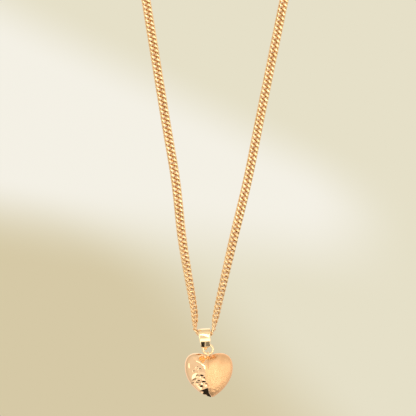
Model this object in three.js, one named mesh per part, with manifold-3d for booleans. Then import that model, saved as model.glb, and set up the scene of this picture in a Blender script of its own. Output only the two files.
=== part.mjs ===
// Pendant necklace: a puffed heart on a tapered bail and a curb chain with a bolt ring clasp.
// Millimetres, +Z up, +X to the wearer's left, -Y to the front. The origin is the middle of the
// neck opening, at the height where the chain rests on the neck. The chain is held as short runs
// of links, each one closed solid of the chain's outer shape.

import * as THREE from 'three';
import { mergeVertices } from 'three/addons/utils/BufferGeometryUtils.js';
import Module from 'manifold-3d';

const wasm = await Module();
wasm.setup();

// ---- driving dimensions ----

const chainWidth = 2.3;
const chainThickness = 1.3;
const jointGap = 0.3;          // free space between two runs of chain, where they hinge

const neckRadius = 31.5;       // of the chain round the back of the neck
const neckBend = 15;           // radius of the turn from the front V to the neck
const seatDrop = 163;          // from the neck down to the top of the bail
const seatSide = -4.05;        // the bail hangs a little to one side

// Each strand of the V as [height above the seat, sideways from the seat], from the bail upwards.
const leftStrand = [[4, -2.4], [22, -5.4], [37, -7.1], [52, -9.6], [82, -14.5], [148, -25.5]];
const rightStrand = [[4, 3.0], [22, 7.1], [37, 10.7], [52, 13.7], [82, 19.8], [148, 33.6]];
const frontRuns = 9;
const frontTop = 148;
const frontBottom = 4;
const twistAtSeat = 58;        // degrees that the chain has turned on itself at the seat
const twistHeight = 31;        // above the seat, from where up the chain lies flat to the front
const turnThickness = 1.9;     // of the chain where it turns over the neck
const seatSection = [2.1, 0.95];         // of the chain in the bail, across and along

// Depths behind the front V at which the chain round the back hinges.
const backHinges = [15, 25, 34, 41];

const bailLength = 5.4;
const bailHalfTop = 1.5;
const bailHalfFoot = 1.17;     // just above the narrow tongue that goes through the jump ring
const bailHalfTongue = 0.28;
const bailTopRadius = 1.85;
const bailTipRadius = 0.7;
const bailWall = 0.33;
const bailTilt = 5;            // degrees
const bailRise = 0.45;         // top of the bail above the seat

const pendantRingRadius = 1.2;
const pendantRingWire = 0.55;
const pendantRingShift = [0.53, 0.15];   // from the bail's tip: sideways and up

const eyeletRadius = 0.58;
const eyeletWire = 0.36;
const eyeletRise = 0.625;      // of its middle above the cleft of the heart

const heartHalfWidth = 5.95;
const heartHalfDepth = 2.3;
const heartWall = 0.35;
const heartSeam = 0.1;
const heartMiddle = [0.2, -4]; // fullest point, from the cleft: sideways and up

const claspRadius = 2.7;
const claspTube = 0.78;
const claspBore = 0.5;
const claspDepth = 46.2;       // behind the front V
const boltRadius = 0.42;
const boltTravel = 45;         // degrees
const gapStart = -64;          // the gap that the bolt closes, in degrees round the clasp
const gapEnd = -22;
const knobAngle = -95;
const knobRadius = 0.42;
const knobStem = 0.2;
const springRadius = 0.32;
const springWire = 0.14;
const springTurns = 9;
const endRingWire = 0.46;
const eyeRadius = 0.85;
const leftRingRadius = 1.1;
const rightRingRadius = 1.3;
const leftRingReach = 6.95;    // from the clasp's middle to where the chain starts, on each side
const rightRingReach = 4.6;

// ---- materials ----

const chainGold = new THREE.MeshStandardMaterial({ color: 0xe0aa5c, roughness: 0.25, metalness: 1 });
const polishedGold = new THREE.MeshStandardMaterial({ color: 0xf3c18c, roughness: 0.12, metalness: 1 });
const satinGold = new THREE.MeshStandardMaterial({ color: 0xf2c088, roughness: 0.45, metalness: 1 });
const springSteel = new THREE.MeshStandardMaterial({ color: 0xb9bcc0, roughness: 0.3, metalness: 1 });

// ---- helpers ----

const necklace = new THREE.Group();
const radians = THREE.MathUtils.degToRad;

function addMesh(parent, name, geometry, material) {
  const mesh = new THREE.Mesh(geometry, material);
  mesh.name = name;
  parent.add(mesh);
  return mesh;
}

function toSolid(geometry) {
  const bare = geometry.index ? geometry.toNonIndexed() : geometry.clone();
  bare.deleteAttribute('normal');
  bare.deleteAttribute('uv');
  const merged = mergeVertices(bare, 1e-5);
  return new wasm.Manifold(new wasm.Mesh({
    numProp: 3,
    vertProperties: new Float32Array(merged.attributes.position.array),
    triVerts: new Uint32Array(merged.index.array),
  }));
}

function toGeometry(solid) {
  const mesh = solid.getMesh();
  const geometry = new THREE.BufferGeometry();
  geometry.setAttribute('position', new THREE.BufferAttribute(new Float32Array(mesh.vertProperties), 3));
  geometry.setIndex(new THREE.BufferAttribute(new Uint32Array(mesh.triVerts), 1));
  return geometry;
}

// A shape with its thickness centred: its own axes point across, up and along depth.
function extrudeThrough(shape, thickness, curveSegments, across, depth) {
  const settings = { depth: thickness, bevelEnabled: false, curveSegments };
  const geometry = new THREE.ExtrudeGeometry(shape, settings);
  geometry.translate(0, 0, -thickness / 2);
  const up = new THREE.Vector3(0, 0, 1);
  return geometry.applyMatrix4(new THREE.Matrix4().makeBasis(across, up, depth));
}

// A shape drawn in the front view (X, Z).
function frontExtrusion(shape, thickness, curveSegments = 12) {
  return extrudeThrough(shape, thickness, curveSegments,
    new THREE.Vector3(1, 0, 0), new THREE.Vector3(0, -1, 0));
}

// A shape drawn in the side view (Y, Z).
function sideExtrusion(shape, thickness, curveSegments = 12) {
  return extrudeThrough(shape, thickness, curveSegments,
    new THREE.Vector3(0, 1, 0), new THREE.Vector3(1, 0, 0));
}

function sweep(section, path, steps) {
  return new THREE.ExtrudeGeometry(section, { steps, extrudePath: path, bevelEnabled: false });
}

// A closed wire ring whose hole looks along Z, X or Y.
function wireRing(radius, wire, hole) {
  const ring = new THREE.TorusGeometry(radius, wire / 2, 8, 24);
  if (hole === 'X') ring.rotateY(Math.PI / 2);
  if (hole === 'Y') ring.rotateX(Math.PI / 2);
  return ring;
}

// ---- chain ----

// Eight-sided section, turned by twist; the first measure is across the path's own normal.
function chainSection(across, along, twist = 0) {
  const corners = [];
  for (let i = 0; i < 8; i += 1) {
    const angle = (i + 0.5) * Math.PI / 4;
    const corner = new THREE.Vector2(Math.cos(angle) * across / 2, Math.sin(angle) * along / 2);
    corner.multiplyScalar(1 / Math.cos(Math.PI / 8));
    corners.push(corner.rotateAround(new THREE.Vector2(), twist));
  }
  return new THREE.Shape(corners);
}

// Sideways place of a strand at a height above the seat.
function strandSide(strand, height) {
  const next = Math.max(1, strand.findIndex(([h]) => h >= height));
  const [h0, x0] = strand[next - 1];
  const [h1, x1] = strand[next];
  return x0 + (x1 - x0) * (height - h0) / (h1 - h0);
}

function strandPoint(strand, height) {
  return new THREE.Vector3(seatSide + strandSide(strand, height), 0, height - seatDrop);
}

// The chain lies flat to the front high up and has turned towards its edge at the bail.
function strandTwist(height) {
  return radians(twistAtSeat * Math.max(0, 1 - height / twistHeight));
}

function addFrontRuns(side, strand) {
  const runHeight = (frontTop - frontBottom) / frontRuns;
  for (let run = 1; run <= frontRuns; run += 1) {
    const high = frontTop - (run - 1) * runHeight;
    const low = high - runHeight;
    const top = strandPoint(strand, high - jointGap / 2);
    const bottom = strandPoint(strand, low + jointGap / 2);
    const section = chainSection(chainThickness, chainWidth, strandTwist((high + low) / 2));
    addMesh(necklace, `chain_front_${side}_${run}`,
      sweep(section, new THREE.LineCurve3(top, bottom), 1), chainGold);
  }
}

addFrontRuns('left', leftStrand);
addFrontRuns('right', rightStrand);

// The links that lie in the bail: down the left, through it, and up the right.
const seatPath = new THREE.CatmullRomCurve3([
  [-2.4, 3.85], [-2.3, 2.2], [-2.2, 0.6], [-1.75, -0.75], [-0.7, -1.1],
  [0.6, -1.1], [1.75, -0.85], [2.3, 0.3], [2.6, 2.0], [2.97, 3.85],
].map(([side, height]) => new THREE.Vector3(seatSide + side, 0, height - seatDrop)));
addMesh(necklace, 'chain_in_bail', sweep(chainSection(...seatSection), seatPath, 22), chainGold);

// The turn over each side of the neck, from the top of the V to the level run behind it.
function addNeckTurn(side, strand, sign) {
  const start = strandPoint(strand, frontTop + jointGap / 2);
  const above = strandPoint(strand, frontTop).sub(strandPoint(strand, frontTop - 20)).normalize();
  const end = new THREE.Vector3(sign * neckRadius, neckBend - jointGap / 2, 0);
  const pull = neckBend * 0.55;
  const path = new THREE.CubicBezierCurve3(start, start.clone().addScaledVector(above, pull),
    end.clone().add(new THREE.Vector3(0, -pull, 0)), end);
  const section = chainSection(turnThickness, turnThickness);
  addMesh(necklace, `chain_neck_${side}`, sweep(section, path, 8), chainGold);
}

addNeckTurn('left', leftStrand, -1);
addNeckTurn('right', rightStrand, 1);

// A level arc behind the neck, between two angles measured from +X.
class NeckArc extends THREE.Curve {
  constructor(from, to) {
    super();
    this.from = from;
    this.to = to;
  }

  getPoint(t, target = new THREE.Vector3()) {
    const angle = this.from + (this.to - this.from) * t;
    return target.set(neckRadius * Math.cos(angle), neckBend + neckRadius * Math.sin(angle), 0);
  }
}

function addBackRuns(side, sign, reach) {
  const ends = backHinges.map((depth) => Math.asin((depth - neckBend) / neckRadius));
  ends.push(Math.acos(reach / neckRadius));
  for (let run = 1; run <= backHinges.length; run += 1) {
    const trim = jointGap / 2 / neckRadius;
    const from = ends[run - 1] + trim;
    const to = ends[run] - (run < backHinges.length ? trim : 0);
    const arc = sign > 0 ? new NeckArc(from, to) : new NeckArc(Math.PI - from, Math.PI - to);
    const section = chainSection(chainWidth, chainThickness);
    addMesh(necklace, `chain_back_${side}_${run}`, sweep(section, arc, 4), chainGold);
  }
}

addBackRuns('left', -1, leftRingReach);
addBackRuns('right', 1, rightRingReach);

// ---- bail ----

const bail = new THREE.Group();
bail.position.set(seatSide - 0.07, 0, bailRise - seatDrop);
bail.rotation.y = -radians(bailTilt);
necklace.add(bail);

// Side view of the bent band: a large arc for the chain, a small one at the tip, and on each
// side a wide arc that touches both.
function bailLoop(wall) {
  const topCentre = -bailTopRadius;
  const tipCentre = bailTipRadius - bailLength;
  const drop = topCentre - tipCentre;
  const spread = bailTopRadius ** 2 - bailTipRadius ** 2;
  const sideRadius = (drop ** 2 + spread) / (2 * (bailTopRadius - bailTipRadius));
  const sideCentre = sideRadius - bailTopRadius;
  const bend = Math.asin(drop / (sideRadius - bailTipRadius));
  const loop = new THREE.Shape();
  loop.absarc(0, topCentre, bailTopRadius - wall, 0, Math.PI, false);
  loop.absarc(sideCentre, topCentre, sideRadius - wall, Math.PI, Math.PI + bend, false);
  loop.absarc(0, tipCentre, bailTipRadius - wall, Math.PI + bend, 2 * Math.PI - bend, false);
  loop.absarc(-sideCentre, topCentre, sideRadius - wall, -bend, 0, false);
  return loop;
}

// Front view of the band: it tapers, then rounds in to the tongue.
function bailOutline() {
  const shoulder = 0.7 - bailLength;
  const tongueTop = shoulder - 0.25;
  const outline = new THREE.Shape();
  outline.moveTo(0, 0.2);
  outline.lineTo(bailHalfTop, 0.2);
  outline.quadraticCurveTo(bailHalfTop, -2.4, bailHalfFoot, shoulder);
  outline.quadraticCurveTo(bailHalfFoot * 0.9, tongueTop, bailHalfTongue, tongueTop);
  outline.lineTo(bailHalfTongue, -bailLength - 0.2);
  outline.lineTo(-bailHalfTongue, -bailLength - 0.2);
  outline.lineTo(-bailHalfTongue, tongueTop);
  outline.quadraticCurveTo(-bailHalfFoot * 0.9, tongueTop, -bailHalfFoot, shoulder);
  outline.quadraticCurveTo(-bailHalfTop, -2.4, -bailHalfTop, 0.2);
  return outline;
}

const bailBand = bailLoop(0);
bailBand.holes.push(bailLoop(bailWall));
const bailSolid = toSolid(sideExtrusion(bailBand, 2 * bailHalfTop + 1, 16))
  .intersect(toSolid(frontExtrusion(bailOutline(), 2 * bailTopRadius + 1, 6)));
addMesh(bail, 'bail', toGeometry(bailSolid), polishedGold);

// ---- pendant jump ring ----

const bailTip = bail.position.clone().add(new THREE.Vector3(
  bailLength * Math.sin(radians(bailTilt)), 0, -bailLength * Math.cos(radians(bailTilt))));
const ringCentre = bailTip.clone().add(new THREE.Vector3(pendantRingShift[0], 0, pendantRingShift[1]));
const pendantRing = addMesh(necklace, 'pendant_jump_ring',
  wireRing(pendantRingRadius, pendantRingWire, 'Y'), polishedGold);
pendantRing.position.copy(ringCentre);

// ---- heart ----

// Front outline from the cleft over one lobe to the rounded tip and back over the other lobe.
// The tip lies a little to one side.
function heartOutline() {
  const outline = new THREE.Shape();
  outline.moveTo(0, 0);
  outline.bezierCurveTo(0.8, 1.05, 6.12, 2.4, 6.12, -2.55);
  outline.bezierCurveTo(6.12, -5.9, 3.4, -8.55, 1.55, -9.7);
  outline.bezierCurveTo(1.2, -9.92, 0.75, -9.95, 0.3, -9.8);
  outline.bezierCurveTo(-3.1, -8.75, -5.77, -5.9, -5.77, -2.3);
  outline.bezierCurveTo(-5.77, 2.4, -0.8, 1.05, 0, 0);
  return outline;
}

// The puffed solid: a sphere whose equator becomes the outline, drawn in by inset all round.
function puffedHeart(inset) {
  const outline = heartOutline();
  const [middleX, middleZ] = heartMiddle;
  const ball = new THREE.SphereGeometry(1, 52, 20);
  const { position, uv } = ball.attributes;
  const widthScale = 1 - inset / heartHalfWidth;
  for (let i = 0; i < position.count; i += 1) {
    const colatitude = (1 - uv.getY(i)) * Math.PI;
    const rim = outline.getPointAt((uv.getX(i) + 1) % 1);
    const reach = Math.sin(colatitude) * widthScale;
    position.setXYZ(i, middleX + (rim.x - middleX) * reach,
      (heartHalfDepth - inset) * Math.cos(colatitude), middleZ + (rim.y - middleZ) * reach);
  }
  return toSolid(ball);
}

const heart = new THREE.Group();
const ringFootTop = ringCentre.z - pendantRingRadius + pendantRingWire / 2;
const eyeletHeight = ringFootTop + 0.03 + eyeletWire / 2 - eyeletRadius;
heart.position.set(ringCentre.x, 0, eyeletHeight - eyeletRise);
necklace.add(heart);

function halfSpace(sign) {
  const block = new THREE.BoxGeometry(20, 10, 20);
  block.translate(0, sign * (5 + heartSeam / 2), -5);
  return toSolid(block);
}

const heartShell = puffedHeart(0).subtract(puffedHeart(heartWall));
addMesh(heart, 'heart_front_shell', toGeometry(heartShell.intersect(halfSpace(-1))), satinGold);
addMesh(heart, 'heart_back_shell', toGeometry(heartShell.intersect(halfSpace(1))), polishedGold);

const eyeletLoop = wireRing(eyeletRadius, eyeletWire, 'X');
eyeletLoop.translate(0, 0, eyeletRise);
const eyeletSolid = toSolid(eyeletLoop).subtract(puffedHeart(-0.05));
addMesh(heart, 'heart_eyelet', toGeometry(eyeletSolid), polishedGold);

// ---- bolt ring clasp ----

const clasp = new THREE.Group();
clasp.position.set(0, claspDepth, 0);
necklace.add(clasp);

// An arc round the clasp's middle, in the front view, between two angles in degrees.
class ClaspArc extends THREE.Curve {
  constructor(from, to) {
    super();
    this.from = radians(from);
    this.to = radians(to);
  }

  getPoint(t, target = new THREE.Vector3()) {
    const angle = this.from + (this.to - this.from) * t;
    return target.set(claspRadius * Math.cos(angle), 0, claspRadius * Math.sin(angle));
  }
}

function disc(radius, sides) {
  const corners = [];
  for (let i = 0; i < sides; i += 1) {
    const angle = i * 2 * Math.PI / sides;
    corners.push(new THREE.Vector2(radius * Math.cos(angle), radius * Math.sin(angle)));
  }
  return corners;
}

function claspTubeSolid() {
  const section = new THREE.Shape(disc(claspTube, 10));
  section.holes.push(new THREE.Path(disc(claspBore, 10)));
  return toSolid(sweep(section, new ClaspArc(gapEnd, 360 + gapStart), 28));
}

// The slot along the outside of the tube in which the knob travels.
function knobSlot() {
  const from = radians(knobAngle - boltTravel - 8);
  const to = radians(knobAngle + 8);
  const slot = new THREE.Shape();
  slot.absarc(0, 0, claspRadius + 0.1, from, to, false);
  slot.absarc(0, 0, claspRadius + 1.5, to, from, true);
  return toSolid(frontExtrusion(slot, 0.6));
}

addMesh(clasp, 'clasp_body', toGeometry(claspTubeSolid().subtract(knobSlot())), chainGold);

function boltSolid() {
  const section = new THREE.Shape(disc(boltRadius, 10));
  const rod = sweep(section, new ClaspArc(gapEnd + 3, knobAngle - 30), 10);
  const stem = new THREE.CylinderGeometry(knobStem, knobStem, 1.1, 10);
  stem.translate(0, claspRadius + 0.6, 0);
  const ball = new THREE.SphereGeometry(knobRadius, 12, 8);
  ball.translate(0, claspRadius + 1.3, 0);
  const knob = toSolid(stem).add(toSolid(ball));
  const turned = knob.rotate([90, 0, 0]).rotate([0, 90 - knobAngle, 0]);
  return toSolid(rod).add(turned);
}

addMesh(clasp, 'clasp_bolt', toGeometry(boltSolid()), chainGold);

// The return spring is a fine coil that follows the bore behind the bolt.
class SpringCoil extends THREE.Curve {
  getPoint(t, target = new THREE.Vector3()) {
    const angle = radians(knobAngle - 34 - 80 * t);
    const turn = 2 * Math.PI * springTurns * t;
    const radius = claspRadius + springRadius * Math.cos(turn);
    const aside = springRadius * Math.sin(turn);
    return target.set(radius * Math.cos(angle), aside, radius * Math.sin(angle));
  }
}

const springSection = new THREE.Shape(disc(springWire / 2, 5));
addMesh(clasp, 'clasp_spring', sweep(springSection, new SpringCoil(), 90), springSteel);

const eyeCentre = -(claspRadius + claspTube + eyeRadius + endRingWire / 2 - 0.25);
const eyeRing = wireRing(eyeRadius, endRingWire, 'Y');
eyeRing.translate(eyeCentre, 0, 0);
const claspClearance = new THREE.TorusGeometry(claspRadius, claspTube + 0.05, 12, 40);
claspClearance.rotateX(Math.PI / 2);
const eyeSolid = toSolid(eyeRing).subtract(toSolid(claspClearance));
addMesh(clasp, 'clasp_eye', toGeometry(eyeSolid), chainGold);

const leftEndRing = addMesh(necklace, 'left_end_ring',
  wireRing(leftRingRadius, endRingWire, 'Z'), chainGold);
leftEndRing.position.set(eyeCentre - eyeRadius - 0.3, claspDepth, 0);

const rightEndRing = addMesh(necklace, 'right_end_ring',
  wireRing(rightRingRadius, endRingWire, 'Z'), chainGold);
rightEndRing.position.set(claspRadius + 0.2, claspDepth, 0);

export default necklace;
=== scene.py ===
"""Pendant necklace: the real links, bail, heart and clasp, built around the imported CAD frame.

Sizes are in millimetres and angles in degrees, in the frame's own axes (+Z up, -Y to the front),
unless a comment says otherwise. solid_piece() turns millimetres into metres. Every piece rides on
the CAD body that it belongs to.
"""

import math

import bmesh
import bpy
from mathutils import Matrix, Vector, noise


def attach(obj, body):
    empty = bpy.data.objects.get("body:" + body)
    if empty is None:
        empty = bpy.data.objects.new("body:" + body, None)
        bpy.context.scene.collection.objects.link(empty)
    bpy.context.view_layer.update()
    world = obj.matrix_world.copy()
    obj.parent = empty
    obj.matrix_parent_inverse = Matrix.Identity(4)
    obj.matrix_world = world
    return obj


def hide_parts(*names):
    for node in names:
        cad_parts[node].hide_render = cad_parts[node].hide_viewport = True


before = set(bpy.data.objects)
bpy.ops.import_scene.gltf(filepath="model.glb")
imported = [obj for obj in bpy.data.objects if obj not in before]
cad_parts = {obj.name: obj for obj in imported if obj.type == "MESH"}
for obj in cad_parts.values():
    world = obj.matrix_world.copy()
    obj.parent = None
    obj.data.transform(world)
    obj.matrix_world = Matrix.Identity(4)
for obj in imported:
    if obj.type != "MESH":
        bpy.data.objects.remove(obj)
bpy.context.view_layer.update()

MM = 0.001
TAU = 2 * math.pi

# ---- sizes and places, as in the CAD part ----

NECK_RADIUS = 31.5
NECK_BEND = 15.0
SEAT = Vector((-4.05, 0, -163.0))          # where the chain carries the bail
FRONT_TOP = 148.0
FRONT_BOTTOM = 4.0                         # the run in the bail reaches up to here
RUN_HEIGHT = 16.0
FRONT_RUNS = 9
BACK_HINGES = (15.0, 25.0, 34.0, 41.0)
HINGE_PLAY = 0.01                          # a link so close before a back hinge counts as past it

# Routes of the two strands, [sideways, height] from the seat, from the bail upwards.
LEFT_STRAND = ((0, -1.1), (-0.6, -1.1), (-1.6, -0.85), (-2.15, 0.3), (-2.3, 2.2), (-2.4, 4.0),
               (-5.4, 22.0), (-7.1, 37.0), (-9.6, 52.0), (-14.5, 82.0), (-20.0, 115.0), (-25.5, 148.0))
RIGHT_STRAND = ((0, -1.1), (0.6, -1.1), (1.6, -0.9), (2.2, 0.2), (2.6, 2.0), (3.0, 4.0),
                (7.1, 22.0), (10.7, 37.0), (13.7, 52.0), (19.8, 82.0), (26.7, 115.0), (33.6, 148.0))

# How far the chain has turned on itself: at the seat, fading out at a height, and more in the bail.
TWIST_AT_SEAT = 58.0
TWIST_HEIGHT = 31.0
TWIST_IN_BAIL = 32.0
BAIL_ZONE = (-0.9, 3.0)                    # heights from the seat over which that fades out
TWIST_ON_NECK = 90.0

# One curb link: its wire, half the width and length of its centre line, and how it is twisted,
# rolled and filed.
LINK_PITCH = 1.14
LINK_WIRE = 0.55
LINK_HALF_WIDTH = 0.875
LINK_HALF_LENGTH = (LINK_PITCH + LINK_WIRE) / 2
LINK_SQUARE = 3.0                          # 2 is an ellipse, more is squarer
LINK_TWIST = math.radians(45)
LINK_LEAN = 0.9                            # how much of the twist's depth is left after rolling
LINK_SPREAD = 0.24                         # how much wider the rolled wire is on the diagonals
LINK_THIN = 0.85                           # how much of its thickness the rolled wire keeps
LINK_FLAT = 0.44                           # filed flat at this distance from the middle plane
LINK_CROWN = 0.15                          # how much of the height past that the file leaves

RING_RADIUS = 1.2
JUMP_WIRE = 0.55
BAIL_TOP = SEAT + Vector((-0.07, 0, 0.45))
BAIL_LENGTH = 5.4
BAIL_HALF_TOP, BAIL_HALF_FOOT, BAIL_HALF_TONGUE = 1.5, 1.17, 0.28
BAIL_TAPER = (0.8, 5.0)                    # between these distances below the top
BAIL_TONGUE = (0.85, 0.42)                 # narrows between these distances above the tip
BAIL_TOP_RADIUS = 1.85
BAIL_TIP_RADIUS = 0.7
BAIL_WALL = 0.33
BAIL_EDGE = 0.12                           # rounding of the band's edges
BAIL_CROWN = 0.07                          # how much the band's face bulges
BAIL_STEP = 0.07                           # longest step round the band
FACE_STEPS, EDGE_STEPS, INSIDE_STEPS = 8, 6, 4   # of the band's section, on each half
BAIL_TILT = math.radians(5)
BAIL_TIP = BAIL_TOP + BAIL_LENGTH * Vector((math.sin(BAIL_TILT), 0, -math.cos(BAIL_TILT)))
RING_CENTRE = BAIL_TIP + Vector((0.53, 0, 0.15))

EYELET_RADIUS = 0.58
EYELET_WIRE = 0.36
EYELET_RISE = 0.625
EYELET_PLAY = 0.03                         # space between its wire and the jump ring's
HEART_CLEFT = RING_CENTRE + Vector((0, 0, (JUMP_WIRE + EYELET_WIRE) / 2 + EYELET_PLAY
                                    - RING_RADIUS - EYELET_RADIUS - EYELET_RISE))
HEART_HALF = 5.95
HEART_DEPTH = 2.3
HEART_MIDDLE = Vector((0.2, -4.0))         # fullest point, from the cleft: sideways and up
HEART_SEAM = 0.1

CLASP = Vector((0, 46.2, 0))
CLASP_RADIUS = 2.7
CLASP_TUBE = 0.78
CLASP_BORE = 0.5
GAP_START, GAP_END = -64.0, -22.0
BOLT_RADIUS = 0.42
BOLT_TRAVEL = 45.0
BOLT_LAP = 3.0                             # how far the closed bolt reaches into the tube past the gap
BOLT_TAIL = 30.0                           # how far the rod goes on past the knob
KNOB_ANGLE = -95.0
KNOB_FOOT = 0.2                            # where the knob starts, out from the tube's centre line
KNOB_OUTLINE = ((0.0, 0.0), (0.2, 0.02), (0.2, 0.5), (0.17, 0.62), (0.2, 0.74), (0.33, 0.82),
                (0.42, 0.95), (0.45, 1.12), (0.42, 1.28), (0.33, 1.42), (0.18, 1.52), (0.0, 1.55))
SLOT_ROOM = 8.0                            # of the knob's slot past the knob at each end
SPRING_RADIUS = 0.34
SPRING_WIRE = 0.14
SPRING_TURNS = 13
SPRING_START = KNOB_ANGLE - BOLT_TAIL - 4.0   # just behind the bolt's tail
SPRING_SWEEP = 80.0
SPRING_HALF_WIRE = 1.4                     # half of its wire, in degrees round the clasp
EYE_RADIUS = 0.85
EYE_SINK = 0.25                            # how deep the eye is soldered into the ring
RING_WIRE = 0.46
LEFT_RING_RADIUS = 1.1
RIGHT_RING_RADIUS = 1.3
LEFT_RING_SHIFT = 1.15                     # of its middle past the eye's middle
RIGHT_RING_SHIFT = 0.2                     # of its middle past the tube's centre line
LEFT_RING_REACH = 6.81                     # from the clasp's middle to the last link, on each side
RIGHT_RING_REACH = 4.55


# ---- curves ----

def smooth(edge0, edge1, value):
    t = min(1.0, max(0.0, (value - edge0) / (edge1 - edge0)))
    return t * t * (3 - 2 * t)


def bezier(a, b, c, d, t):
    return (1 - t) ** 3 * a + 3 * (1 - t) ** 2 * t * b + 3 * (1 - t) * t * t * c + t ** 3 * d


def spline(points, steps=14):
    """A smooth curve through the points: centripetal Catmull-Rom."""
    ends = [2 * points[0] - points[1]] + list(points) + [2 * points[-1] - points[-2]]
    curve = []
    for p0, p1, p2, p3 in zip(ends, ends[1:], ends[2:], ends[3:]):
        t1 = (p1 - p0).length ** 0.5
        t2 = t1 + (p2 - p1).length ** 0.5
        t3 = t2 + (p3 - p2).length ** 0.5
        for i in range(steps):
            t = t1 + (t2 - t1) * i / steps
            a1 = p0.lerp(p1, t / t1)
            a2 = p1.lerp(p2, (t - t1) / (t2 - t1))
            a3 = p2.lerp(p3, (t - t2) / (t3 - t2))
            b1 = a1.lerp(a2, t / t2)
            b2 = a2.lerp(a3, (t - t1) / (t3 - t1))
            curve.append(b1.lerp(b2, (t - t1) / (t2 - t1)))
    curve.append(points[-1].copy())
    return curve


def running_lengths(points):
    """How far along the points each of them is."""
    lengths = [0.0]
    for a, b in zip(points, points[1:]):
        lengths.append(lengths[-1] + (b - a).length)
    return lengths


def places_along(lengths, distances):
    """For each distance, in rising order: the stretch that it is on, and its share of that stretch."""
    places = []
    k = 0
    for distance in distances:
        while k < len(lengths) - 2 and lengths[k + 1] < distance:
            k += 1
        places.append((k, (distance - lengths[k]) / (lengths[k + 1] - lengths[k])))
    return places


# ---- camera: level and straight at the front of the pendant ----

FRAME_WIDTH = 102.96                       # width of the view at the necklace
CAMERA_DISTANCE = 600.0
CAMERA_SIDE, CAMERA_RISE = 0.92, 30.2      # from the seat
SENSOR = 36.0


def add_camera():
    data = bpy.data.cameras.new("camera")
    data.sensor_width = SENSOR
    data.lens = SENSOR * CAMERA_DISTANCE / FRAME_WIDTH
    data.clip_start = 0.01
    data.clip_end = 50
    camera = bpy.data.objects.new("camera", data)
    bpy.context.collection.objects.link(camera)
    camera.location = (SEAT + Vector((CAMERA_SIDE, -CAMERA_DISTANCE, CAMERA_RISE))) * MM
    camera.rotation_euler = (math.pi / 2, 0, 0)
    bpy.context.scene.camera = camera


# ---- node trees ----

class NodeGraph:
    """A node tree, with short ways to add what the materials and the studio need."""

    MIX_A, MIX_B, MIX_RESULT = 6, 7, 2     # the colour sockets of a Mix node
    RAMP_ENDS = (0.3, 0.7)

    def __init__(self, tree):
        self.nodes = tree.nodes
        self.links = tree.links

    def add(self, kind, **settings):
        """A node with its properties or sockets set; an underscore stands for a socket's space."""
        node = self.nodes.new(kind)
        for key, value in settings.items():
            if hasattr(node, key):
                setattr(node, key, value)
            else:
                node.inputs[key.replace("_", " ")].default_value = value
        return node

    def feed(self, socket, value):
        """Gives a socket a number, a colour or the output of another node."""
        if isinstance(value, (int, float)):
            socket.default_value = value
        elif isinstance(value, tuple):
            socket.default_value = (*value, 1)
        else:
            self.links.new(value, socket)

    def maths(self, operation, a, b=0.0):
        node = self.add("ShaderNodeMath", operation=operation)
        self.feed(node.inputs[0], a)
        self.feed(node.inputs[1], b)
        return node.outputs["Value"]

    def total(self, first, *others):
        for other in others:
            first = self.maths("ADD", first, other)
        return first

    def product(self, first, *others):
        for other in others:
            first = self.maths("MULTIPLY", first, other)
        return first

    def span(self, value, low, high, out_low=0.0, out_high=1.0, shape="SMOOTHSTEP"):
        """Goes from out_low to out_high as the value goes from low to high."""
        node = self.add("ShaderNodeMapRange", interpolation_type=shape, From_Min=low, From_Max=high,
                        To_Min=out_low, To_Max=out_high)
        self.feed(node.inputs["Value"], value)
        return node.outputs["Result"]

    def window(self, value, low, high, soft):
        """1 between low and high and 0 outside, with soft edges."""
        rise = self.span(value, low - soft, low + soft)
        fall = self.span(value, high + soft, high - soft)
        return self.product(rise, fall)

    def mix(self, factor, a, b):
        """A colour between a and b."""
        node = self.add("ShaderNodeMix", data_type="RGBA")
        self.feed(node.inputs["Factor"], factor)
        self.feed(node.inputs[self.MIX_A], a)
        self.feed(node.inputs[self.MIX_B], b)
        return node.outputs[self.MIX_RESULT]

    def clouds(self, place, scale, detail, stretch=(1, 1, 1), turn=0.0):
        """Noise with so many features per unit of place, stretched, and turned round Y in radians."""
        mapping = self.add("ShaderNodeMapping", Scale=stretch, Rotation=(0, turn, 0))
        texture = self.add("ShaderNodeTexNoise", Scale=scale, Detail=detail)
        self.feed(mapping.inputs["Vector"], place)
        self.feed(texture.inputs["Vector"], mapping.outputs["Vector"])
        return texture.outputs["Fac"]

    def ramp(self, source, low, high):
        """A colour from low to high."""
        node = self.add("ShaderNodeValToRGB")
        for element, position, colour in zip(node.color_ramp.elements, self.RAMP_ENDS, (low, high)):
            element.position = position
            element.color = (*colour, 1)
        self.feed(node.inputs["Fac"], source)
        return node.outputs["Color"]

    def bump(self, height, strength, distance):
        """A surface normal with relief; its distance is in metres."""
        node = self.add("ShaderNodeBump", Distance=distance)
        self.feed(node.inputs["Strength"], strength)
        self.feed(node.inputs["Height"], height)
        return node.outputs["Normal"]


# ---- materials ----

MARK_DEPTH = 0.00002                       # of the handling marks, metres


def new_metal(name):
    """A metal: its material, its node graph and its shader."""
    material = bpy.data.materials.new(name)
    material.use_nodes = True
    graph = NodeGraph(material.node_tree)
    shader = graph.nodes["Principled BSDF"]
    shader.inputs["Metallic"].default_value = 1.0
    return material, graph, shader


def polished_metal(name, low, high, rough, scale, relief):
    """A polished metal with faint handling marks: colour, gloss and surface all vary a little.

    low and high are the ends of its colour, and rough has those of its roughness. scale is in
    features per metre.
    """
    material, graph, shader = new_metal(name)
    place = graph.add("ShaderNodeTexCoord").outputs["Object"]
    wide = graph.clouds(place, scale, 3.0)
    fine = graph.clouds(place, scale * 9, 4.0, stretch=(1, 1, 0.35))
    graph.feed(shader.inputs["Base Color"], graph.ramp(wide, low, high))
    graph.feed(shader.inputs["Roughness"], graph.span(fine, 0, 1, *rough, "LINEAR"))
    graph.feed(shader.inputs["Normal"], graph.bump(fine, relief, MARK_DEPTH))
    return material


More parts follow.
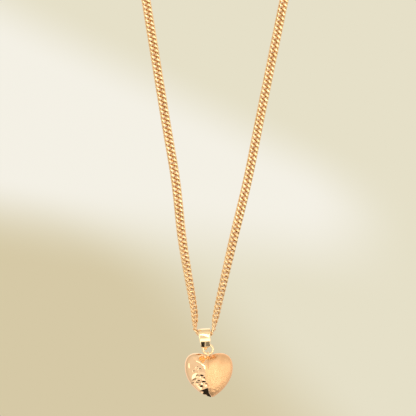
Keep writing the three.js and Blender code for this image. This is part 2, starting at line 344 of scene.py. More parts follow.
# The chain's gold varies a little at random, like the other metals, and is darker overall than bright_gold:
# that darker level is painted shade, standing in for the shade among the links. The clasp and end rings share
# it.
CHAIN_GOLD_PAINTED_SHADE = polished_metal("chain_gold", (0.74, 0.49, 0.235), (0.92, 0.67, 0.37), (0.07, 0.17),
                            900, 0.10)
BRIGHT_GOLD = polished_metal("bright_gold", (0.95, 0.69, 0.38), (0.98, 0.74, 0.43), (0.04, 0.12),
                             500, 0.06)
STEEL = polished_metal("spring_steel", (0.50, 0.51, 0.52), (0.62, 0.63, 0.64), (0.2, 0.35),
                       900, 0.1)


# ---- mesh helpers ----

def solid_piece(name, verts, faces, material, body, replaced=(), flat=()):
    """One piece from points in millimetres. It rides on body and stands for the replaced nodes."""
    mesh = bpy.data.meshes.new(name)
    mesh.from_pydata([tuple(MM * c for c in v) for v in verts], [], faces)
    mesh.materials.append(material)
    mesh.update()
    piece = bpy.data.objects.new(name, mesh)
    bpy.context.collection.objects.link(piece)
    mesh.polygons.foreach_set("use_smooth", [i not in flat for i in range(len(mesh.polygons))])
    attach(piece, body)
    if replaced:
        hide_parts(*replaced)
    return piece


def grid_faces(rows, columns, wrap_rows=True):
    """Quads over a grid of points, stored row by row, whose columns go once round."""
    faces = []
    for i in range(rows if wrap_rows else rows - 1):
        for j in range(columns):
            i2, j2 = (i + 1) % rows, (j + 1) % columns
            faces.append((i * columns + j, i2 * columns + j, i2 * columns + j2, i * columns + j2))
    return faces


def tube_faces(rings, sides):
    """Faces of a tube, stored ring by ring, with both ends closed."""
    faces = grid_faces(rings, sides, wrap_rows=False)
    faces.append(tuple(range(sides)))
    faces.append(tuple(reversed(range((rings - 1) * sides, rings * sides))))
    return faces


def torus(centre, radius, wire, hole, around=48, sides=16):
    """A wire ring round centre; hole is the direction that its hole looks along."""
    axis = Vector(hole).normalized()
    first = axis.orthogonal().normalized()
    second = axis.cross(first)
    verts = []
    for i in range(around):
        spoke = math.cos(TAU * i / around) * first + math.sin(TAU * i / around) * second
        for j in range(sides):
            turn = TAU * j / sides
            verts.append(centre + spoke * (radius + wire / 2 * math.cos(turn))
                         + axis * wire / 2 * math.sin(turn))
    return verts, grid_faces(around, sides)


def weld(piece):
    """Joins a piece's points that lie on each other."""
    mesh = bmesh.new()
    mesh.from_mesh(piece.data)
    bmesh.ops.remove_doubles(mesh, verts=mesh.verts, dist=1e-7)
    bmesh.ops.recalc_face_normals(mesh, faces=mesh.faces)
    mesh.to_mesh(piece.data)
    mesh.free()


# ---- chain ----

CLIMB_POINTS = 15                          # of the front's last points, that give its direction
NECK_STEPS = 24
NECK_TURN_START = 0.1                      # share of the turn over the neck before it twists
NECK_PULL = 0.55                           # length of that curve's handles, as a share of NECK_BEND
BACK_STEPS = 60


def half_route(strand, side, reach):
    """Points of half the chain from the seat over one side of the neck to the clasp.

    Each point comes with how far the chain has turned on itself there, and its part.
    """
    front = spline([Vector((x, 0, h)) for x, h in strand])
    route = []
    for point in front:
        turn = TWIST_AT_SEAT * max(0.0, 1 - max(0.0, point.z) / TWIST_HEIGHT)
        turn += TWIST_IN_BAIL * (1 - smooth(*BAIL_ZONE, point.z))
        route.append((SEAT + point, turn, "front"))
    start = SEAT + front[-1]
    climb = (front[-1] - front[-1 - CLIMB_POINTS]).normalized()
    end = Vector((side * NECK_RADIUS, NECK_BEND, 0))
    pull = NECK_BEND * NECK_PULL
    near, far = start + climb * pull, end - Vector((0, pull, 0))
    for i in range(1, NECK_STEPS + 1):
        t = i / NECK_STEPS
        turn = TWIST_ON_NECK * smooth(NECK_TURN_START, 1, t)
        route.append((bezier(start, near, far, end, t), turn, "neck"))
    last = math.acos(reach / NECK_RADIUS)
    for i in range(1, BACK_STEPS + 1):
        angle = last * i / BACK_STEPS
        point = Vector((side * NECK_RADIUS * math.cos(angle), NECK_BEND + NECK_RADIUS * math.sin(angle), 0))
        route.append((point, TWIST_ON_NECK, "back"))
    return route


def link_stations(route, first):
    """Places links along the route at one pitch, the first at a distance along it."""
    lengths = running_lengths([point for point, _, _ in route])
    count = round((lengths[-1] - first) / LINK_PITCH)
    pitch = (lengths[-1] - first) / count
    distances = [min(first + n * pitch, lengths[-1]) for n in range(count + 1)]
    stations = []
    for k, t in places_along(lengths, distances):
        (a, turn_a, _), (b, turn_b, part) = route[k], route[k + 1]
        stations.append((a.lerp(b, t), turn_a + (turn_b - turn_a) * t, part))
    return stations


def link_frames(stations):
    """For each station: its point, the chain's flat normal, its direction and its part."""
    frames = []
    carried = Vector((0, -1, 0))
    for index, (point, turn, part) in enumerate(stations):
        before = stations[max(0, index - 1)][0]
        after = stations[min(len(stations) - 1, index + 1)][0]
        along = (after - before).normalized()
        if part == "back":
            normal = Vector((point.x, point.y - NECK_BEND, 0))
        else:
            carried = Vector((0, -1, 0)) if part == "front" else carried
            carried = (carried - carried.dot(along) * along).normalized()
            normal = Matrix.Rotation(math.radians(turn), 3, along) @ carried
        normal = (normal - normal.dot(along) * along).normalized()
        frames.append((point, normal, along, part))
    return frames


def squared(reach, wave):
    """A sine or cosine made squarer, times reach."""
    return math.copysign(reach * abs(wave) ** (2 / LINK_SQUARE), wave)


def link_template(around=32, sides=12):
    """Points of one curb link: (sideways, along the flat normal, along the chain)."""
    centre = []
    for i in range(around):
        t = TAU * i / around
        turn = LINK_TWIST * math.cos(t)
        wide = squared(LINK_HALF_WIDTH, math.sin(t))
        high = squared(LINK_HALF_LENGTH, math.cos(t))
        centre.append(Vector((wide * math.cos(turn), LINK_LEAN * wide * math.sin(turn), high)))
    points = []
    for i, c in enumerate(centre):
        tangent = (centre[(i + 1) % around] - centre[i - 1]).normalized()
        out = (c - c.dot(tangent) * tangent).normalized()
        across = tangent.cross(out)
        spread = 1 + LINK_SPREAD * abs(math.sin(2 * TAU * i / around))
        for j in range(sides):
            angle = TAU * j / sides
            wire = spread * math.cos(angle) * out + LINK_THIN * math.sin(angle) * across
            p = c + LINK_WIRE / 2 * wire
            filed = LINK_FLAT + LINK_CROWN * max(0.0, abs(p.y) - LINK_FLAT)
            p.y = math.copysign(min(abs(p.y), filed), p.y)
            points.append(p)
    return points, grid_faces(around, sides)


def run_name(point, part, side):
    """The CAD run that a link at this point belongs to, and its body."""
    if part == "neck":
        return f"chain_neck_{side}", "neck"
    if part == "back":
        run = max(i for i, y in enumerate(BACK_HINGES, 1) if point.y >= y - HINGE_PLAY)
        return f"chain_back_{side}_{run}", f"back_{run}"
    height = point.z - SEAT.z
    if height < FRONT_BOTTOM:
        return "chain_in_bail", f"front_{FRONT_RUNS}"
    run = min(FRONT_RUNS, int((FRONT_TOP - height) / RUN_HEIGHT) + 1)
    return f"chain_front_{side}_{run}", f"front_{run}"


def add_chain():
    """Every link, as one piece for each CAD run. The left half leaves out the link at the seat."""
    template, link_faces = link_template()
    halves = (("right", half_route(RIGHT_STRAND, 1, RIGHT_RING_REACH), 0.0),
              ("left", half_route(LEFT_STRAND, -1, LEFT_RING_REACH), LINK_PITCH))
    runs = {}
    for side, route, first in halves:
        for point, normal, along, part in link_frames(link_stations(route, first)):
            sideways = along.cross(normal)
            name, body = run_name(point, part, side)
            verts, faces, _ = runs.setdefault(name, ([], [], body))
            start = len(verts)
            verts.extend(point + sideways * p.x + normal * p.y + along * p.z for p in template)
            faces.extend(tuple(start + v for v in face) for face in link_faces)
    for name, (verts, faces, body) in runs.items():
        links_name = name.replace("chain", "links")
        solid_piece(links_name, verts, faces, CHAIN_GOLD_PAINTED_SHADE, body, (name,))


# ---- bail ----

def bail_half_width(depth):
    """Half the band's width at a distance below the bail's top: a taper, then the tongue."""
    taper = BAIL_HALF_TOP - (BAIL_HALF_TOP - BAIL_HALF_FOOT) * smooth(*BAIL_TAPER, depth)
    start, end = (BAIL_LENGTH - rise for rise in BAIL_TONGUE)
    return taper - (taper - BAIL_HALF_TONGUE) * smooth(start, end, depth)


def bail_profile():
    """Side view of the band's outside from the top round: points (y, z) with outward normals.

    A large arc carries the chain, a small one makes the tip, and wide arcs join them.
    """
    top, tip = -BAIL_TOP_RADIUS, BAIL_TIP_RADIUS - BAIL_LENGTH
    spread = BAIL_TOP_RADIUS ** 2 - BAIL_TIP_RADIUS ** 2
    side_radius = ((top - tip) ** 2 + spread) / (2 * (BAIL_TOP_RADIUS - BAIL_TIP_RADIUS))
    side = side_radius - BAIL_TOP_RADIUS
    sweep = math.asin((top - tip) / (side_radius - BAIL_TIP_RADIUS))
    arcs = ((0, top, BAIL_TOP_RADIUS, math.pi / 2, 0), (-side, top, side_radius, 0, -sweep),
            (0, tip, BAIL_TIP_RADIUS, -sweep, sweep - math.pi),
            (side, top, side_radius, sweep - math.pi, -math.pi),
            (0, top, BAIL_TOP_RADIUS, -math.pi, -1.5 * math.pi))
    profile = []
    for y, z, radius, start, end in arcs:
        steps = math.ceil(abs(end - start) * radius / BAIL_STEP)
        for i in range(steps):
            angle = start + (end - start) * i / steps
            ny, nz = math.cos(angle), math.sin(angle)
            profile.append((y + radius * ny, z + radius * nz, ny, nz))
    return profile


def band_section(half):
    """Cross-section of the band, once round from the left: (sideways, outwards) from its face."""
    flat = half - BAIL_EDGE
    face = []
    for i in range(2 * FACE_STEPS + 1):
        x = flat * (i / FACE_STEPS - 1)
        face.append((x, BAIL_CROWN * (1 - (x / half) ** 2) - BAIL_CROWN))
    edge = []
    for i in range(1, EDGE_STEPS):
        turn = math.pi / 2 * i / EDGE_STEPS
        edge.append((flat + BAIL_EDGE * math.sin(turn), BAIL_EDGE * (math.cos(turn) - 1) - BAIL_CROWN / 4))
    for i in range(EDGE_STEPS):
        turn = math.pi / 2 * i / EDGE_STEPS
        edge.append((flat + BAIL_EDGE * math.cos(turn), BAIL_EDGE * (1 - math.sin(turn)) - BAIL_WALL))
    inside = [(flat * (1 - i / INSIDE_STEPS), -BAIL_WALL) for i in range(2 * INSIDE_STEPS + 1)]
    return face + edge + inside + [(-x, out) for x, out in reversed(edge)]


def add_bail():
    turn = Matrix.Rotation(-BAIL_TILT, 3, "Y")
    verts = []
    profile = bail_profile()
    for y, z, ny, nz in profile:
        for x, out in band_section(bail_half_width(-z)):
            verts.append(BAIL_TOP + turn @ Vector((x, y + ny * out, z + nz * out)))
    faces = grid_faces(len(profile), len(verts) // len(profile))
    solid_piece("bail_band", verts, faces, BRIGHT_GOLD, "bail", ("bail",))


# ---- pendant ring, eyelet, clasp eye and end rings ----

def add_rings():
    verts, faces = torus(RING_CENTRE, RING_RADIUS, JUMP_WIRE, (0, 1, 0), 72, 20)
    solid_piece("jump_ring", verts, faces, BRIGHT_GOLD, "jump_ring",
                ("pendant_jump_ring",))
    centre = HEART_CLEFT + Vector((0, 0, EYELET_RISE))
    verts, faces = torus(centre, EYELET_RADIUS, EYELET_WIRE, (1, 0, 0))
    solid_piece("eyelet_loop", verts, faces, BRIGHT_GOLD, "heart", ("heart_eyelet",))

    eye = -(CLASP_RADIUS + CLASP_TUBE + EYE_RADIUS + RING_WIRE / 2 - EYE_SINK)
    centre = CLASP + Vector((eye - LEFT_RING_SHIFT, 0, 0))
    verts, faces = torus(centre, LEFT_RING_RADIUS, RING_WIRE, (0, 0, 1))
    solid_piece("end_ring_left", verts, faces, CHAIN_GOLD_PAINTED_SHADE, "back_4", ("left_end_ring",))
    centre = CLASP + Vector((CLASP_RADIUS + RIGHT_RING_SHIFT, 0, 0))
    verts, faces = torus(centre, RIGHT_RING_RADIUS, RING_WIRE, (0, 0, 1))
    solid_piece("end_ring_right", verts, faces, CHAIN_GOLD_PAINTED_SHADE, "back_4", ("right_end_ring",))
    verts, faces = torus(CLASP + Vector((eye, 0, 0)), EYE_RADIUS, RING_WIRE, (0, 1, 0))
    solid_piece("clasp_eye_loop", verts, faces, CHAIN_GOLD_PAINTED_SHADE, "clasp", ("clasp_eye",))


# ---- heart: places are sideways and up from the cleft ----

# Outline from the cleft over the lobe at +X, the rounded tip and the other lobe: Bezier curves.
HEART_CURVES = (((0, 0), (0.8, 1.05), (6.12, 2.4), (6.12, -2.55)),
                ((6.12, -2.55), (6.12, -5.9), (3.4, -8.55), (1.55, -9.7)),
                ((1.55, -9.7), (1.2, -9.92), (0.75, -9.95), (0.3, -9.8)),
                ((0.3, -9.8), (-3.1, -8.75), (-5.77, -5.9), (-5.77, -2.3)),
                ((-5.77, -2.3), (-5.77, 2.4), (-0.8, 1.05), (0, 0)))

# Diamond cuts on the lobe at -X: middle, length, width, slant.
HEART_CUTS = ((-2.68, -2.50, 1.2, 0.65, 32), (-2.00, -2.97, 1.1, 0.95, 12),
              (-3.54, -3.48, 0.8, 0.75, 40), (-2.62, -4.53, 0.8, 0.70, 20),
              (-1.65, -4.66, 1.5, 1.00, 0), (-0.94, -5.23, 1.2, 0.95, -25),
              (-3.40, -5.61, 1.5, 0.80, 30), (-3.76, -6.42, 0.9, 0.75, 35),
              (-2.45, -6.34, 1.4, 1.10, 40), (-2.30, -5.85, 1.0, 0.60, -15),
              (-1.21, -6.22, 1.8, 1.05, 5), (-0.42, -6.70, 1.3, 0.95, -40),
              (-1.65, -7.42, 1.5, 1.20, -20), (-2.15, -7.00, 1.0, 0.70, 60),
              (-1.60, -8.63, 0.9, 0.75, 20), (-0.66, -9.41, 0.7, 0.50, 10))
CUT_SLOPE = 24.0
CUT_SLOPE_HIGH = 30.0
CUT_SLOPE_ZONE = (-4.3, -3.6)              # heights between which the slope changes

# Flat facets among the cuts: middle, how far each looks up and to the side, how deep.
HEART_FACETS = ((-0.35, -7.95, -29, -3, 0.07), (-1.45, -7.30, -15, -4, 0.05),
                (-2.45, -7.60, -14, -12, 0.05), (-3.35, -6.15, -13, -15, 0.04),
                (-3.40, -4.60, -12, -14, 0.04), (-1.50, -5.45, -14, -4, 0.03),
                (-0.35, -6.95, -14, 0, 0.05), (-1.20, -6.15, -28, -3, 0.03),
                (-1.75, -8.50, -16, -8, 0.05), (-2.50, -3.70, 4, -10, 0.03))

# Pockets beside the eyelet, where the lobes turn in: middle, spread sideways and up, share of depth.
HEART_POCKETS = ((-1.40, -0.15, 0.72, 0.45, 0.88), (-1.25, -0.80, 0.40, 0.35, 0.40),
                 (1.20, 0.25, 0.62, 0.34, 0.75), (0.0, 0.0, 0.9, 0.35, 0.35))

# The line where the satin side begins: its sideways place at the top, and each shift on the way
# down, with the heights where the shift starts and ends.
DIVIDE_TOP = -0.05
DIVIDE_SHIFTS = ((-0.2, -1.6, -0.70), (-4.6, -6.9, 0.48), (-6.4, -8.8, 0.55), (-8.6, -10.0, 0.6))

RIM_TUCK = 0.06                            # how far the shell pulls in at the seam
RIM_TUCK_FADE = 0.8                        # how fast that fades from ring to ring
RIM_SOFT = 0.3                             # depth over which cuts and finish fade out at the rim
CURVE_STEPS = 200

# The satin side. Its grains have a count per mm sideways and upwards, a slice of the noise and a height.
BRUSH_STROKES = (2.6, 0.45, 3.1, 0.010)
PECKS = (2.3, 2.3, 8.7, 0.040)
PECKS_ZONE = (-3.2, -5.6)                  # heights over which the pecks set in, higher towards +X
PECKS_SLANT = 0.2
SATIN_SOFT = 0.25                          # how far past the divide the relief reaches full height
DIVIDE_SOFT = 0.13                         # width over which colour and gloss change at the divide
SATIN_ROUGHNESS = (0.34, 0.52)
POLISHED_ROUGHNESS = 0.07
BRUSH_STRETCH = (3.4, 3.4, 0.4)
BRUSH_TURN = math.radians(6)
BRUSH_DEPTH = 0.00003                      # metres


def heart_rim(count):
    """Even points along the outline, from the cleft."""
    dense = []
    for curve in HEART_CURVES:
        corners = [Vector(corner) for corner in curve]
        dense += [bezier(*corners, i / CURVE_STEPS) for i in range(CURVE_STEPS)]
    dense.append(dense[0])
    lengths = running_lengths(dense)
    places = places_along(lengths, [lengths[-1] * i / count for i in range(count)])
    return [dense[k].lerp(dense[k + 1], t) for k, t in places]


def dome_depth(rim, x, z):
    """Depth of the plain puffed surface at a point, from the heart's middle plane."""
    spoke = Vector((x, z)) - HEART_MIDDLE
    nearest = max(rim, key=lambda p: (p - HEART_MIDDLE).normalized().dot(spoke.normalized()))
    return HEART_DEPTH * math.sqrt(1 - (spoke.length / (nearest - HEART_MIDDLE).length) ** 2)


def facet_planes(rim):
    """Each facet's plane: its middle, the depth there, and how depth grows sideways and upwards."""
    planes = []
    for x, z, up, aside, sink in HEART_FACETS:
        up, aside = math.radians(up), math.radians(aside)
        depth = dome_depth(rim, x, z) - sink
        planes.append((x, z, depth, -math.tan(aside), -math.tan(up) / math.cos(aside)))
    return planes


def divide(z):
    """Where the satin side begins: sideways place at a height from the cleft."""
    return sum((shift * smooth(start, end, z) for start, end, shift in DIVIDE_SHIFTS), DIVIDE_TOP)


def cut_depth(x, z):
    """How far the diamond cuts go in at a point: each is a leaf-shaped V, steeper high up."""
    depth = 0.0
    for cx, cz, length, width, slant in HEART_CUTS:
        steepness = CUT_SLOPE + (CUT_SLOPE_HIGH - CUT_SLOPE) * smooth(*CUT_SLOPE_ZONE, cz)
        slope = math.tan(math.radians(steepness))
        angle = math.radians(slant)
        along = (x - cx) * math.cos(angle) + (z - cz) * math.sin(angle)
        across = (z - cz) * math.cos(angle) - (x - cx) * math.sin(angle)
        reach = 1 - (2 * along / length) ** 2
        if reach > 0:
            depth = max(depth, slope * (width / 2 * reach - abs(across)))
    return depth


def cleft_dip(x, z):
    """How much the puffed surface falls in between the lobes, as a share of its depth."""
    left = 1.0
    for px, pz, aside, climb, share in HEART_POCKETS:
        left *= 1 - share * math.exp(-((x - px) / aside) ** 2 - ((z - pz) / climb) ** 2)
    return 1 - left


def grain(x, z, across, climb, slice_place, height):
    return noise.noise(Vector((x * across, z * climb, slice_place))) * height


def satin_relief(x, z):
    """Height of the brushed strokes, and of the pecks lower down, on the satin side."""
    inside = smooth(0.0, SATIN_SOFT, x - divide(z))
    pecks = grain(x, z, *PECKS) * smooth(*PECKS_ZONE, z - PECKS_SLANT * x)
    return inside * (grain(x, z, *BRUSH_STROKES) + pecks)


def carved_depth(x, z, depth, planes):
    """Depth of the front with its facets, its cuts and its satin finish."""
    soft = smooth(0.0, RIM_SOFT, depth)
    if x < divide(z):
        flats = [d + across * (x - px) + climb * (z - pz) for px, pz, d, across, climb in planes]
        depth = min(depth, *flats)
    return depth + soft * (satin_relief(x, z) - cut_depth(x, z))


def half_heart(front, around=400, rings=140):
    """Half of the puffed heart as a closed dome: points from its cleft, and faces."""
    rim = heart_rim(around)
    planes = facet_planes(rim)
    sign = -1 if front else 1
    verts = []
    for k in range(rings):
        lift = math.pi / 2 * k / rings
        tuck = RIM_TUCK * math.exp(-k * RIM_TUCK_FADE)
        for p in rim:
            x, z = HEART_MIDDLE + (p - HEART_MIDDLE) * (math.cos(lift) - tuck / HEART_HALF)
            depth = HEART_DEPTH * math.sin(lift) * (1 - cleft_dip(x, z))
            if front:
                depth = carved_depth(x, z, depth, planes)
            verts.append(Vector((x, sign * (depth + HEART_SEAM / 4), z)))
    faces = grid_faces(rings, around, wrap_rows=False)
    top = len(verts)
    verts.append(sum(verts[-around:], Vector()) / around)
    last = (rings - 1) * around
    faces += [(last + i, top, last + (i + 1) % around) for i in range(around)]
    faces.append(tuple(reversed(range(around))))
    if front:
        faces = [tuple(reversed(face)) for face in faces]
    return verts, faces


def heart_material():
    """Polished gold on one side of the divide, satin brushed on the other."""
    material, graph, shader = new_metal("heart_gold")
    own = graph.add("ShaderNodeMapping", vector_type="TEXTURE", Location=HEART_CLEFT * MM,
                    Scale=(MM, MM, MM))
    graph.feed(own.inputs["Vector"], graph.add("ShaderNodeTexCoord").outputs["Object"])
    place = own.outputs["Vector"]
    apart = graph.add("ShaderNodeSeparateXYZ")
    graph.feed(apart.inputs["Vector"], place)

    line = DIVIDE_TOP
    for start, end, shift in DIVIDE_SHIFTS:
        line = graph.total(line, graph.span(apart.outputs["Z"], start, end, 0.0, shift))
    past_line = graph.maths("SUBTRACT", apart.outputs["X"], line)
    satin = graph.span(past_line, 0.0, DIVIDE_SOFT, shape="LINEAR")

    streaks = graph.clouds(place, 1.0, 4.0, stretch=BRUSH_STRETCH, turn=BRUSH_TURN)
    tint = graph.clouds(place, 0.9, 2.0)
    polished = graph.ramp(tint, (0.93, 0.61, 0.34), (0.96, 0.65, 0.38))
    brushed = graph.ramp(tint, (0.84, 0.49, 0.235), (0.91, 0.55, 0.275))
    graph.feed(shader.inputs["Base Color"], graph.mix(satin, polished, brushed))
    rough = graph.add("ShaderNodeMix", A=POLISHED_ROUGHNESS)
    graph.feed(rough.inputs["Factor"], satin)
    graph.feed(rough.inputs["B"], graph.span(streaks, 0, 1, *SATIN_ROUGHNESS, "LINEAR"))
    graph.feed(shader.inputs["Roughness"], rough.outputs["Result"])
    relief = graph.bump(streaks, graph.product(satin, 0.6), BRUSH_DEPTH)
    graph.feed(shader.inputs["Normal"], relief)
    return material


def add_heart_shell(name, front, material, node):
    verts, faces = half_heart(front)
    verts = [HEART_CLEFT + v for v in verts]
    solid_piece(name, verts, faces, material, "heart", (node,), flat={len(faces) - 1})


def add_heart():
    add_heart_shell("heart_front", True, heart_material(), "heart_front_shell")
    add_heart_shell("heart_back", False, BRIGHT_GOLD, "heart_back_shell")


# ---- clasp ----

def clasp_point(angle, out=0.0, aside=0.0):
    """A point round the clasp, out from the tube's centre line and aside along Y."""
    a = math.radians(angle)
    return CLASP + Vector(((CLASP_RADIUS + out) * math.cos(a), aside, (CLASP_RADIUS + out) * math.sin(a)))


def clasp_tube(start, end, radius, steps, sides):
    """Points of a tube along the clasp from one angle to another, ring by ring."""
    verts = []
    for i in range(steps + 1):
        angle = start + (end - start) * i / steps
        for j in range(sides):
            turn = TAU * j / sides
            verts.append(clasp_point(angle, radius * math.cos(turn), radius * math.sin(turn)))
    return verts


def add_clasp_ring(steps=150, sides=24):
    """The hollow ring, open at the gap and along a slot for the knob on its outside."""
    start, end = GAP_END, 360 + GAP_START
    slot_start = 360 + KNOB_ANGLE - BOLT_TRAVEL - SLOT_ROOM
    slot_end = 360 + KNOB_ANGLE + SLOT_ROOM
    outer = clasp_tube(start, end, CLASP_TUBE, steps, sides)
    inner = clasp_tube(start, end, CLASP_BORE, steps, sides)
    shift = len(outer)

    def is_open(i, j):
        """Whether there is no wall at step i and side j."""
        angle = start + (end - start) * (i + 0.5) / steps
        in_slot = slot_start < angle < slot_end and j % sides in (0, sides - 1)
        return in_slot or not 0 <= i < steps

    faces = []
    for i in range(steps):
        for j in range(sides):
            if is_open(i, j):
                continue
            j2 = (j + 1) % sides
            a, b, c, d = i * sides + j, i * sides + j2, (i + 1) * sides + j2, (i + 1) * sides + j
            faces.append((a, b, c, d))
            faces.append((shift + a, shift + d, shift + c, shift + b))
            if is_open(i, j - 1):
                faces.append((a, d, shift + d, shift + a))
            if is_open(i, j + 1):
                faces.append((b, shift + b, shift + c, c))
            if is_open(i - 1, j):
                faces.append((a, shift + a, shift + b, b))
            if is_open(i + 1, j):
                faces.append((d, c, shift + c, shift + d))
    solid_piece("clasp_ring", outer + inner, faces, CHAIN_GOLD_PAINTED_SHADE, "clasp", ("clasp_body",))


def add_bolt_rod(steps=40, sides=16):
    verts = clasp_tube(GAP_END + BOLT_LAP, KNOB_ANGLE - BOLT_TAIL, BOLT_RADIUS, steps, sides)
    faces = tube_faces(steps + 1, sides)
    solid_piece("bolt_rod", verts, faces, CHAIN_GOLD_PAINTED_SHADE, "bolt", ("clasp_bolt",))


def add_bolt_knob(sides=16):
    """A turned stem with a waist and a round head."""
    a = math.radians(KNOB_ANGLE)
    across, aside = Vector((-math.sin(a), 0, math.cos(a))), Vector((0, 1, 0))
    verts = []
    for radius, height in KNOB_OUTLINE:
        base = clasp_point(KNOB_ANGLE, KNOB_FOOT + height)
        for j in range(sides):
            turn = TAU * j / sides
            verts.append(base + (across * math.cos(turn) + aside * math.sin(turn)) * radius)
    faces = grid_faces(len(KNOB_OUTLINE), sides, wrap_rows=False)
    piece = solid_piece("bolt_knob", verts, faces, CHAIN_GOLD_PAINTED_SHADE, "bolt")
    weld(piece)


def add_return_spring(steps=260, sides=6):
    """A coil inside the tube, behind the bolt."""
    verts = []
    for i in range(steps + 1):
        t = i / steps
        turn = TAU * SPRING_TURNS * t
        angle = SPRING_START - SPRING_SWEEP * t
        for j in range(sides):
            side = TAU * j / sides
            reach = SPRING_RADIUS + SPRING_WIRE / 2 * math.cos(side)
            shifted = angle + SPRING_HALF_WIRE * math.sin(side)
            verts.append(clasp_point(shifted, reach * math.cos(turn), reach * math.sin(turn)))
    faces = tube_faces(steps + 1, sides)
    solid_piece("return_spring", verts, faces, STEEL, "clasp", ("clasp_spring",))


def add_clasp():
    add_clasp_ring()
    add_bolt_rod()
    add_bolt_knob()
    add_return_spring()


# ---- floor, backdrop and light ----

FLOOR_LEVEL, FLOOR_RADIUS = -0.33, 1.25    # metres
LAMP_COLOUR = (1, 0.97, 0.92)

# Bright cards that the metal sees: from and to sideways, from and to upwards, strength, soft edge.
# The places are parts of a unit direction.
CARDS = (((0.4, 1.0), (-1.0, -0.3), 0.3, 0.1),
         ((0.4, 1.0), (-0.16, 0.16), 0.8, 0.03),
         ((-0.45, 0.15), (0.5, 0.8), 0.10, 0.03),
         ((-0.6, 0.6), (-0.56, -0.32), 1.3, 0.03))
GAP_SOFT = (0.015, 0.02)                   # soft edges of the dark gaps, sideways and up
GAP_DARKNESS = 0.97


def add_floor():
    bpy.ops.mesh.primitive_circle_add(vertices=128, radius=FLOOR_RADIUS, fill_type="NGON",
                                      location=(0, 0, FLOOR_LEVEL))
    floor = bpy.context.object
    floor.name = "floor"
    material = bpy.data.materials.new("floor")
    material.use_nodes = True
    shader = material.node_tree.nodes["Principled BSDF"]
    shader.inputs["Base Color"].default_value = (0.80, 0.76, 0.66, 1)
    shader.inputs["Roughness"].default_value = 0.8
    floor.data.materials.append(material)
    floor.visible_glossy = False


def backdrop_colour(graph, x, z):
    """What the camera sees: pale, with painted light brightest to the upper left and painted shade, a deeper
    colour, to the lower left.
    """
    half_view = FRAME_WIDTH / 2 / CAMERA_DISTANCE
    right = graph.product(x, 1 / half_view)
    up = graph.product(z, 1 / half_view)

    def slope(across, climb):
        return graph.total(graph.product(right, across), graph.product(up, climb))

    # Painted light: the backdrop is brighter towards the upper left.
    painted_light = graph.product(graph.span(slope(0.5, 1.0), 0.63, 0.29),
                           graph.span(slope(0.1, 1.0), -0.37, 0.06), graph.span(right, 1.0, 0.45))
    # Painted shade: the backdrop turns a deeper, darker colour towards the lower left.
    painted_shade = graph.product(graph.span(slope(0.2, 1.0), -0.04, -0.45),
                         graph.span(slope(1.0, 1.0), -0.15, -0.85))
    colour = graph.mix(painted_light, (0.791, 0.745, 0.578), (0.905, 0.875, 0.785))
    return graph.mix(painted_shade, colour, (0.672, 0.584, 0.381))


def studio_strength(graph, x, y, z):
    """What the metal sees: a light tent, brighter in front, with bright cards and dark gaps."""
    light = graph.total(graph.span(y, 0.0, -0.55, 0.75, 0.95), graph.span(y, 0.1, 0.6, 0.0, 0.6),
                        graph.span(y, 0.55, 1.0, 0.0, -0.55),
                        graph.product(graph.span(y, 0.0, 0.6), graph.span(z, -0.9, 0.9, -0.30, 0.25)))
    for across, climb, strength, soft in CARDS:
        card = graph.product(graph.window(x, *across, soft), graph.window(z, *climb, soft),
                             graph.span(y, 0.2, 0.0), strength)
        light = graph.total(light, card)

    aside, upright = GAP_SOFT
    middle = graph.product(graph.window(x, -0.16, 0.04, aside), graph.window(z, -1.1, -0.62, upright))
    beside = graph.product(graph.window(x, 0.08, 0.33, aside), graph.window(z, -0.93, -0.62, upright), 0.75)
    below = graph.product(graph.total(middle, beside), graph.span(y, 0.05, -0.05))
    corners = graph.total(graph.window(x, -0.6, -0.16, aside), graph.window(x, 0.33, 0.6, aside))
    corners = graph.product(corners, graph.window(z, -1.1, -0.73, upright), graph.window(y, -0.46, 0.0, 0.04))
    dark = graph.product(graph.total(below, corners), GAP_DARKNESS)
    return graph.product(light, graph.maths("SUBTRACT", 1.0, dark))


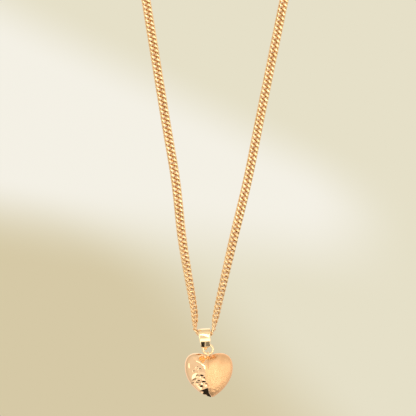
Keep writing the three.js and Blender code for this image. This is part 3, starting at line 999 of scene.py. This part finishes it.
def add_world():
    """The backdrop for the camera, with painted light and shade, and the studio's light for everything else.
    """
    world = bpy.data.worlds.new("studio")
    bpy.context.scene.world = world
    world.use_nodes = True
    graph = NodeGraph(world.node_tree)
    graph.nodes.clear()
    apart = graph.add("ShaderNodeSeparateXYZ")
    graph.feed(apart.inputs["Vector"], graph.add("ShaderNodeTexCoord").outputs["Generated"])
    x, y, z = apart.outputs["X"], apart.outputs["Y"], apart.outputs["Z"]

    studio = graph.add("ShaderNodeBackground")
    tone = graph.mix(graph.span(y, -0.1, 0.4), (1.0, 0.96, 0.90), (1.0, 0.92, 0.91))
    graph.feed(studio.inputs["Color"], tone)
    graph.feed(studio.inputs["Strength"], studio_strength(graph, x, y, z))
    seen = graph.add("ShaderNodeBackground")
    graph.feed(seen.inputs["Color"], backdrop_colour(graph, x, z))

    both = graph.add("ShaderNodeMixShader")
    graph.feed(both.inputs["Fac"], graph.add("ShaderNodeLightPath").outputs["Is Camera Ray"])
    graph.feed(both.inputs[1], studio.outputs["Background"])
    graph.feed(both.inputs[2], seen.outputs["Background"])
    out = graph.add("ShaderNodeOutputWorld")
    graph.feed(out.inputs["Surface"], both.outputs["Shader"])


def add_light(name, place, size, power, aim, roll=0.0):
    """A rectangular lamp at a place in metres, turned towards aim and rolled anticlockwise."""
    data = bpy.data.lights.new(name, "AREA")
    data.shape = "RECTANGLE"
    data.size, data.size_y = size
    data.energy = power
    data.color = LAMP_COLOUR
    lamp = bpy.data.objects.new(name, data)
    bpy.context.collection.objects.link(lamp)
    lamp.location = place
    facing = (Vector(aim) - lamp.location).to_track_quat("-Z", "Y").to_matrix()
    lamp.rotation_euler = (facing @ Matrix.Rotation(math.radians(roll), 3, "Z")).to_euler()


add_camera()
add_chain()
add_bail()
add_rings()
add_heart()
add_clasp()
add_floor()
add_world()
add_light("key", (-0.85, -0.53, -0.12), (0.16, 0.24), 0.12, (0, 0, -0.13))
add_light("left_strip", (-0.047, -0.62, -0.045), (0.03, 0.60), 0.26, (-0.02, 0, -0.045), 32)
add_light("right_strip", (0.044, -0.62, -0.045), (0.03, 0.60), 0.31, (0.02, 0, -0.045), 32)
bpy.context.scene.view_settings.view_transform = "Standard"
